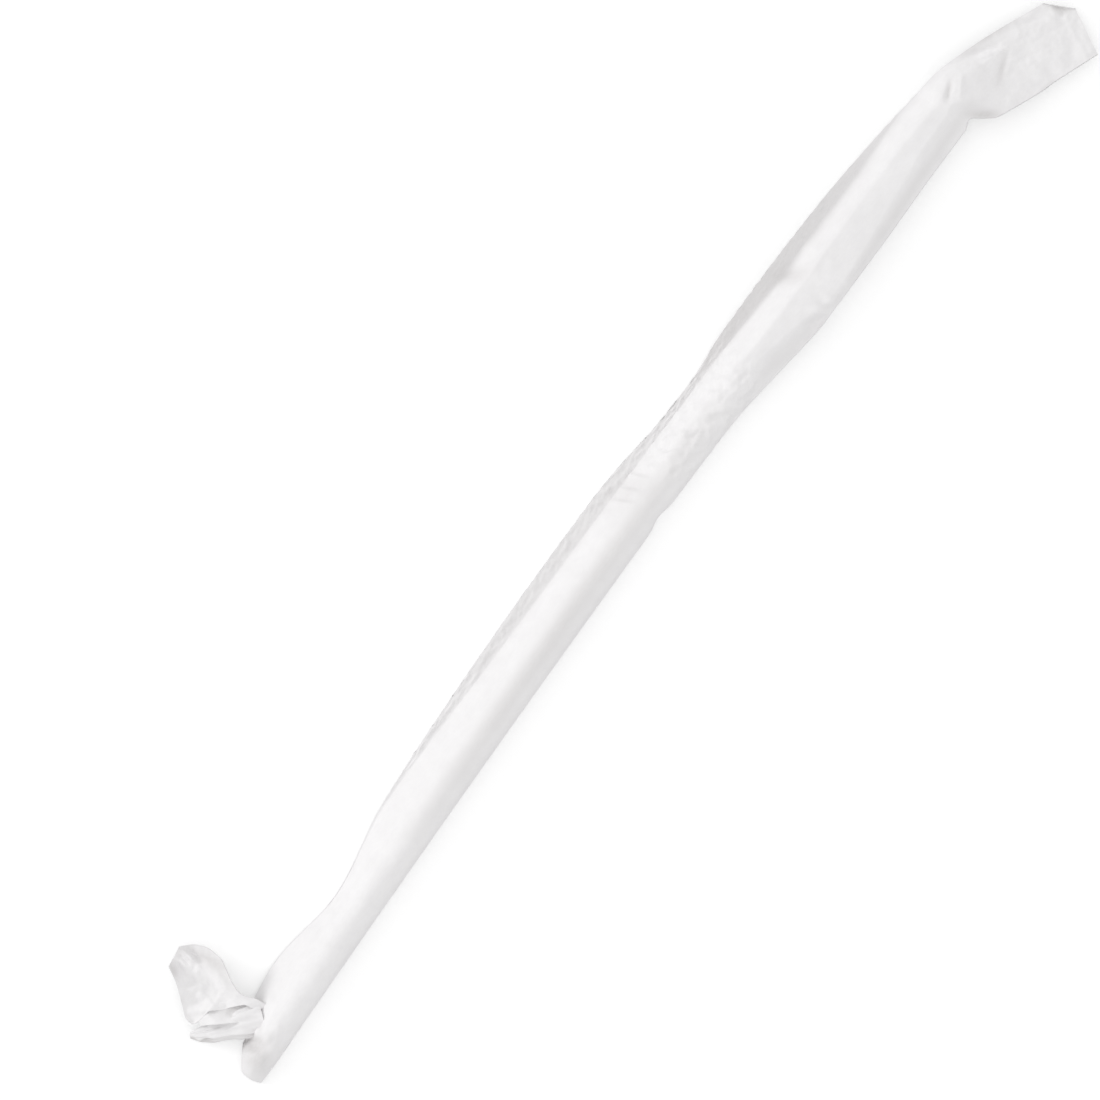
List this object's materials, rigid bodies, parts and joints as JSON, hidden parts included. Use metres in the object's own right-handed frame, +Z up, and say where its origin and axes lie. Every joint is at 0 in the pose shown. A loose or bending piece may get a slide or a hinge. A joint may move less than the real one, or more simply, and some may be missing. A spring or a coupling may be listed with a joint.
{
  "type": "paper-wrapped drinking straw",
  "caption": "Straight drinking straw sealed in a white paper sleeve, lying flat, with a creased waist, a flat sealed tail at one end and a folded, flared tail at the other.",
  "frame": {"origin": "on the table, in the resting strip under the middle of the straw's length", "axes": "+X along the straw, from the folded end to the flat end; +Y to the side where the folded end sticks out; +Z up"},
  "size_m": [0.2157, 0.0358, 0.0056],
  "materials": {
    "sleeve_paper": "matt white tissue-weight paper"
  },
  "bodies": {
    "root": {"wrapped_straw": "sleeve_paper"}
  },
  "joints": []
}
